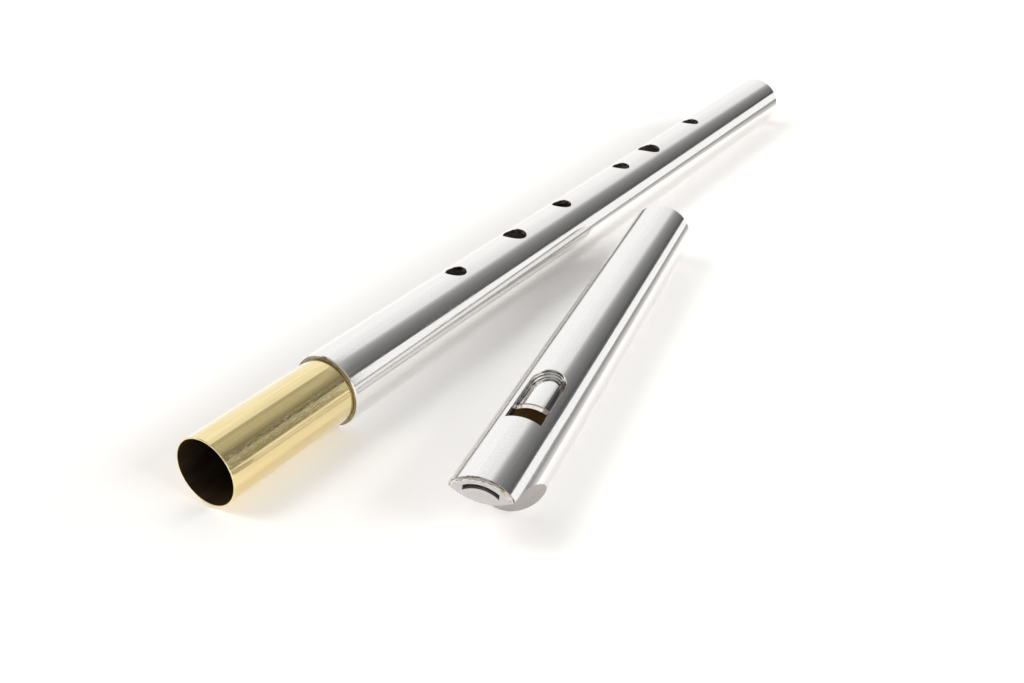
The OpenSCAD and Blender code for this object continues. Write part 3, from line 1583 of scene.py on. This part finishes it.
    def build_sleeve(self, lathe: Tree, bevels: Tree, scoop: Mesh) -> Piece:
        """Forms and dresses the windway sleeve with its ramp and blade.

        Args:
            lathe: the turning tree.
            bevels: the rim cutter tree.
            scoop: the beak's cutter.

        Returns:
            The piece, not yet laid.
        """
        s, n = self.socket_edge, self.sleeve_length
        form = Turned((
            (0.0, self.roof), (0.0, self.insert), (n - s, self.insert), (n, self.insert - s),
            (n, self.rear_bore), (self.window_at, self.rear_bore), (self.window_at, self.roof),
        ))
        w, top = self.arch, self.outer + PAST
        low, core_end, lip_depth = 4.0, 80.0, 1.0
        front, at = self.window_at - SEAM, self.blade_at
        mouth = self.prism([(front, -w), (at, -w), (at, w), (front, w)], 0.0, top)
        core = Turned(((0.0, 0.0), (0.0, self.roof), (core_end, self.roof), (core_end, 0.0)), True)
        pocket = boolean(self.prism(self.outline(), low, top), core.mesh(lathe))
        sharp, before, behind = self.rear_bore + self.blade_edge, at - PAST / 2, at + self.blade_bevel
        bevel = Turned((
            (before, sharp), (at, sharp), (behind, self.roof), (behind, self.outer), (before, self.outer),
        ))
        blade = boolean(bevel.mesh(lathe), self.prism(self.outline(), low, top), "INTERSECT")
        mesh = form.mesh(lathe)
        for cutter in (mouth, pocket, blade, *self.rims(bevels, (self.insert, self.joint)), scoop):
            mesh = boolean(mesh, cutter)
        walls = [*form.walls(), *bevel.walls(), *core.walls(), *self.window_walls()]
        inside, arch, scooped = self.rear_bore + SKIN, len(walls) - 2, len(walls) - 1

        def choose(faces: Faces) -> Array:
            """Dark in the bore, satin on lip and scoop, milled in the window, bright on ramp and blade.

            Args:
                faces: the sleeve's faces.

            Returns:
                The number of each face's finish.
            """
            made = np.where(faces.out < inside, Dress.BORE, Dress.BRIGHT)
            made = np.where(self.cut_faces(faces, arch), Dress.CUT, made)
            satin = (faces.which == scooped) | (faces.centre[:, 0] < lip_depth)
            return np.where(satin, Dress.SATIN, made)

        finishes = [
            RampAluminium("ramp_bright", self.lie, self.roof),
            DarkBore("head_inner_dark", self.lie, self.rear_bore, GOLDEN_LIGHT, GOLDEN_DARK, metallic=0.0),
            SatinAluminium("lip_satin", self.lie, self.plug),
            CutAluminium("ramp_milled", self.lie, self.outer),
        ]
        return Piece("windway_sleeve_bright", "windway_sleeve", "head", Slot.POLISHED, self.lie,
                     mesh, walls, finishes, choose)

    def build_plug(self, lathe: Tree, scoop: Mesh) -> Piece:
        """Forms and dresses the fipple plug.

        Args:
            lathe: the turning tree.
            scoop: the beak's cutter.

        Returns:
            The piece, not yet laid.
        """
        end, w = self.window_at, self.windway_width / 2
        low, over = 3.0, 3.0
        form = Turned(((0.0, 0.0), (0.0, self.plug), (end, self.plug), (end, 0.0)), True)
        floor = Turned((
            (-PAST, 0.0), (-PAST, self.floor), (end - self.floor_bevel, self.floor),
            (end + over, self.floor - self.floor_bevel - over), (end + over, 0.0),
        ), True)
        front, back = -PAST / 2, end + PAST
        slot = self.prism([(front, -w), (back, -w), (back, w), (front, w)], low, self.outer)
        channel = boolean(slot, floor.mesh(lathe))
        mesh = boolean(boolean(form.mesh(lathe), channel), scoop)
        walls = [*form.walls(), *floor.walls(), *self.window_walls()]
        finishes = [SatinAluminium("plug_satin", self.lie, self.plug)]
        return Piece("fipple_plug_satin", "fipple_plug", "head", Slot.SATIN, self.lie, mesh, walls, finishes)

    def build(self, lathe: Tree, bevels: Tree) -> list[Piece]:
        """Forms the head's three pieces.

        Args:
            lathe: the turning tree.
            bevels: the rim cutter tree.

        Returns:
            The pieces, not yet laid.
        """
        scoop = self.scoop_cutter(lathe)
        return [
            self.build_tube(lathe, bevels, scoop),
            self.build_sleeve(lathe, bevels, scoop.copy()),
            self.build_plug(lathe, scoop.copy()),
        ]


# Studio


@dataclass(frozen=True)
class Card:
    """A card of the studio that only mirror-like surfaces see. Its corners are in mm."""

    name: str
    corners: tuple[Point, ...] = ()
    grey: float = 0.1

    def points(self) -> tuple[Point, ...]:
        """The card's corners, in mm."""
        return self.corners

    def faces(self) -> list[tuple[int, ...]]:
        """The card's faces, as numbers of its corners."""
        return [tuple(range(len(self.corners)))]

    def glow(self, net: Net) -> Sock:
        """The card's surface shader, by default one plain grey."""
        return net.emission((self.grey, self.grey, self.grey, 1.0))

    def build(self) -> None:
        points = [tuple(v * MM for v in corner) for corner in self.points()]
        mesh = plain_mesh(self.name, points, [], self.faces())
        made = linked(self.name, mesh)
        mesh.materials.append(painted(self.name, self.glow))
        made.visible_camera = False
        made.visible_diffuse = False
        made.visible_shadow = False
        made.visible_transmission = False


@dataclass(frozen=True)
class Place:
    """The row coordinates of the point that is seen, in mm."""

    x: Sock
    y: Sock
    z: Sock

    @classmethod
    def of(cls, net: Net) -> "Place":
        """Reads them from the object coordinates, since every object lies at the origin.

        Args:
            net: the material's tree.

        Returns:
            The three coordinates.
        """
        seen = net.node("ShaderNodeTexCoord", output="Object")
        parts = net.node("ShaderNodeSeparateXYZ", {0: seen}).out.node.outputs
        return cls(*(Sock(net, out) / MM for out in parts))


@dataclass(frozen=True)
class EndCard(Card):
    """The card beyond the foot: dark on the right, with a soft turn to white on the left."""

    edge: float = -30.0
    spread: float = 0.55
    tones: tuple[Stop, ...] = (
        (-2.5, 0.10), (-1.0, 0.19), (-0.35, 0.29), (-0.05, 0.46),
        (0.12, 0.74), (0.3, 0.84), (1.2, 0.93), (2.2, 1.0),
    )

    def glow(self, net: Net) -> Sock:
        """Dark to white across, the wider the higher up.

        Args:
            net: the material's tree.

        Returns:
            The surface shader.
        """
        place = Place.of(net)
        across = (place.y - self.edge) / (place.z * self.spread)
        return net.emission(net.curve(across, self.tones))


@dataclass(frozen=True)
class RingCard(Card):
    """A card bent round the body's axis, which only the brass sleeve mirrors, toned by its angle."""

    x: float = 600.0
    shade_tint: Colour = (1.03, 1.0, 0.74, 1.0)
    light_tint: Colour = (1.0, 1.0, 1.12, 1.0)
    inner: float = 717.0
    outer: float = 1300.0
    low: float = -8.0
    high: float = 101.5
    steps: int = 24
    tones: tuple[Stop, ...] = (
        (-8.0, 0.30), (2.0, 0.27), (9.0, 0.25), (14.0, 0.30), (19.0, 0.28), (24.0, 0.36), (29.5, 0.36),
        (30.2, 0.62), (31.4, 0.62), (32.0, 0.17), (38.0, 0.20), (43.6, 0.22), (44.4, 0.50), (45.6, 0.50),
        (46.4, 0.20), (52.0, 0.23), (58.0, 0.31), (65.0, 0.40), (72.0, 0.49), (79.0, 0.52), (87.0, 0.49),
        (93.0, 0.43), (101.5, 0.43),
    )

    def points(self) -> tuple[Point, ...]:
        """The corners, in pairs of inner and outer.

        Returns:
            The corners, in mm.
        """
        made = []
        for k in range(self.steps + 1):
            turn = math.radians(self.low + (self.high - self.low) * k / self.steps)
            for r in (self.inner, self.outer):
                made.append((self.x, -r * math.cos(turn), r * math.sin(turn)))
        return tuple(made)

    def faces(self) -> list[tuple[int, ...]]:
        """One face for each step round."""
        return [(2 * k, 2 * k + 1, 2 * k + 3, 2 * k + 2) for k in range(self.steps)]

    def glow(self, net: Net) -> Sock:
        """Streaked greys that change with the angle above the table.

        Args:
            net: the material's tree.

        Returns:
            The surface shader.
        """
        place = Place.of(net)
        turn = net.math("ARCTAN2", place.z, place.y * -1.0)
        tone = net.curve(turn * math.degrees(1.0), self.tones)
        tint = net.mix(tone, self.shade_tint, self.light_tint)
        return net.emission(net.node("ShaderNodeVectorMath", {0: tone, 1: tint}, operation="MULTIPLY"))


@dataclass(frozen=True)
class Batten(Card):
    """A low dark batten on the table, fading out downwards. Its corners are those of its top edge."""

    foot: float = -13.0
    rise: float = 12.0
    covers: tuple[Stop, ...] = ((0.0, 0.45), (0.35, 0.6), (1.0, 1.0))

    def points(self) -> tuple[Point, ...]:
        """Each top corner after its foot on the table."""
        return tuple((x, y, end) for x, y, z in self.corners for end in (TABLE_Z, z))

    def faces(self) -> list[tuple[int, ...]]:
        """One upright face for each two neighbouring feet."""
        return [(k, k + 2, k + 3, k + 1) for k in range(0, 2 * len(self.corners) - 2, 2)]

    def glow(self, net: Net) -> Sock:
        """Dark at the top and half clear at the foot.

        Args:
            net: the material's tree.

        Returns:
            The surface shader.
        """
        clear = net.node("ShaderNodeBsdfTransparent")
        cover = net.ramp((Place.of(net).z - self.foot) / self.rise, self.covers)
        return net.node("ShaderNodeMixShader", {0: cover, 1: clear, 2: super().glow(net)})


@dataclass(frozen=True)
class Lamp:
    """A broad soft lamp far from the whistle. Angles are in degrees, sizes in metres."""

    name: str
    azimuth: float
    height: float
    size: tuple[float, float]
    watts: float
    away: float = 6.0
    aim: Point = (0.1, -0.03, 0.0)

    def build(self) -> None:
        """Makes the lamp, which metal doesn't see."""
        lamp = bpy.data.lights.new(self.name, "AREA")
        lamp.shape = "RECTANGLE"
        lamp.size, lamp.size_y = self.size
        lamp.energy = self.watts
        made = linked(self.name, lamp)
        a, e = math.radians(self.azimuth), math.radians(self.height)
        way = Vector((math.cos(e) * math.cos(a), math.cos(e) * math.sin(a), math.sin(e)))
        made.location = Vector(self.aim) + way * self.away
        made.rotation_euler = (-way).to_track_quat("-Z", "Y").to_euler()
        made.visible_glossy = False
        made.visible_camera = False


PANEL_Y = -650.0
SIDE_SHAPE = ((560.0, 415.0), (1450.0, 312.0), (9000.0, 312.0), (9000.0, 6000.0), (560.0, 6000.0))
CARDS = (
    Card("side_card", tuple((x, PANEL_Y, z) for x, z in SIDE_SHAPE), 0.10),
    Card("rear_side_card", tuple((-x, PANEL_Y, z) for x, z in SIDE_SHAPE), 0.14),
    Card("rear_far_card", tuple((-x, -PANEL_Y, z) for x, z in SIDE_SHAPE), 0.14),
    Card(
        "rear_end_card",
        ((-760.0, -1100.0, 240.0), (-760.0, -1100.0, 1500.0),
         (-760.0, 1100.0, 1500.0), (-760.0, 1100.0, 240.0)),
        0.42,
    ),
    RingCard("ring_card"),
    EndCard(
        "end_card",
        ((652.0, 500.0, 60.0), (652.0, 500.0, 2000.0), (652.0, -1100.0, 2000.0), (652.0, -1100.0, 825.0),
         (652.0, -80.0, 60.0)),
    ),
    Batten(
        "low_batten",
        ((-60.0, -126.5, 8.0), (200.0, -72.6, 2.0), (400.0, -31.2, 2.0), (3000.0, -37.0, 2.0)),
        0.32,
    ),
)
LAMPS = (
    Lamp("front_lamp", -50.0, 18.0, (3.0, 1.2), 130.0),
    Lamp("right_lamp", -90.0, 30.0, (3.0, 1.8), 122.0),
    Lamp("side_lamp", -130.0, 18.0, (3.0, 1.2), 26.0),
    Lamp("left_lamp", 130.0, 50.0, (3.0, 3.0), 130.0),
    Lamp("rear_lamp", 20.0, 35.0, (3.0, 2.0), 37.0),
)


@dataclass
class Studio:
    """Pale table, white surround, cards for the metal, soft lamps and the camera."""

    eye: Point = (-0.23632, -0.21711, 0.18971)
    right: Point = (0.52825, -0.84909, 0.0)
    up: Point = (0.40600, 0.25259, 0.87827)
    lens: float = 40.40
    sensor: float = 36.0
    nearest: float = 0.01
    farthest: float = 50.0
    table_half: float = 6.0
    table_rough: float = 0.7
    fill: float = 0.42
    lift: float = 0.12
    fade_from: float = 1300.0
    fill_colour: Colour = (1.0, 0.972, 0.935, 1.0)
    table_colour: Colour = (0.87, 0.862, 0.855, 1.0)
    seen_colour: Colour = (0.99, 0.98, 0.972, 1.0)

    def build(self) -> None:
        """Makes the whole studio."""
        self.world()
        self.table()
        for card in CARDS:
            card.build()
        for lamp in LAMPS:
            lamp.build()
        self.camera()

    @staticmethod
    def seen_directly(net: Net) -> Sock:
        """1 for camera, glossy and transmission rays.

        Args:
            net: the material's tree.

        Returns:
            1 for those rays and 0 for the others.
        """
        path = net.node("ShaderNodeLightPath")
        outs = path.out.node.outputs
        rays = [Sock(net, outs[k]) for k in ("Is Camera Ray", "Is Glossy Ray", "Is Transmission Ray")]
        return net.math("MAXIMUM", net.math("MAXIMUM", rays[0], rays[1]), rays[2])

    def world(self) -> None:
        """White for whatever sees the surround directly, and soft fill for the rest."""
        world = bpy.data.worlds.new("white_surround")
        bpy.context.scene.world = world
        world.use_nodes = True
        net = Net(world.node_tree)
        seen = self.seen_directly(net)
        strength = self.fill + seen * (1.0 - self.fill)
        colour = net.mix(seen, self.fill_colour, (1.0, 1.0, 1.0, 1.0))
        back = net.node("ShaderNodeBackground", {"Color": colour, "Strength": strength})
        net.node("ShaderNodeOutputWorld", {"Surface": back})

    def table(self) -> None:
        """The pale matt table top, which keeps the shadows and fades to white far off."""
        r, z = self.table_half, TABLE_Z * MM
        mesh = plain_mesh("table_top", [(-r, -r, z), (r, -r, z), (r, r, z), (-r, r, z)], [], [(0, 1, 2, 3)])
        mesh.materials.append(painted("pale_table", self.table_cover))
        made = linked("table_top", mesh)

    def table_cover(self, net: Net) -> Sock:
        """The table's surface shader.

        Args:
            net: the material's tree.

        Returns:
            The surface shader.
        """
        seen = self.seen_directly(net)
        place = Place.of(net)
        away = net.math("SQRT", place.x * place.x + place.y * place.y)
        far = net.clip((away - self.fade_from) / self.fade_from) * seen
        colour = net.mix(seen, self.table_colour, self.seen_colour)
        colour = net.mix(far, colour, (0.0, 0.0, 0.0, 1.0))
        glow = seen * self.lift + far * (1.0 - self.lift)
        return net.node("ShaderNodeBsdfPrincipled", {
            "Base Color": colour, "Roughness": self.table_rough, "Specular IOR Level": 0.0,
            "Emission Color": glow, "Emission Strength": 1.0,
        })

    def camera(self) -> None:
        """The camera at the photograph's viewing angle."""
        lens = bpy.data.cameras.new("camera")
        lens.lens = self.lens
        lens.sensor_width = self.sensor
        lens.sensor_fit = "HORIZONTAL"
        lens.clip_start, lens.clip_end = self.nearest, self.farthest
        made = linked("camera", lens)
        right, up = Vector(self.right).normalized(), Vector(self.up).normalized()
        back = right.cross(up)
        made.matrix_world = Matrix.Translation(self.eye) @ Matrix((right, up, back)).transposed().to_4x4()
        bpy.context.scene.camera = made


def main() -> None:
    """Builds the studio and the whistle in order, and reports each piece."""
    logging.basicConfig(level=logging.INFO, format="%(name)s %(message)s")
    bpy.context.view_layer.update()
    bpy.context.scene.view_settings.view_transform = "Standard"
    Studio().build()
    lathe, bevels = lathe_tree(), edge_tree()
    pieces = [BodyTube().build(lathe, bevels), TuningSleeve().build(lathe), *Head().build(lathe, bevels)]
    for piece in pieces:
        piece.lay()
    bpy.context.view_layer.update()


if __name__ == "__main__":
    main()
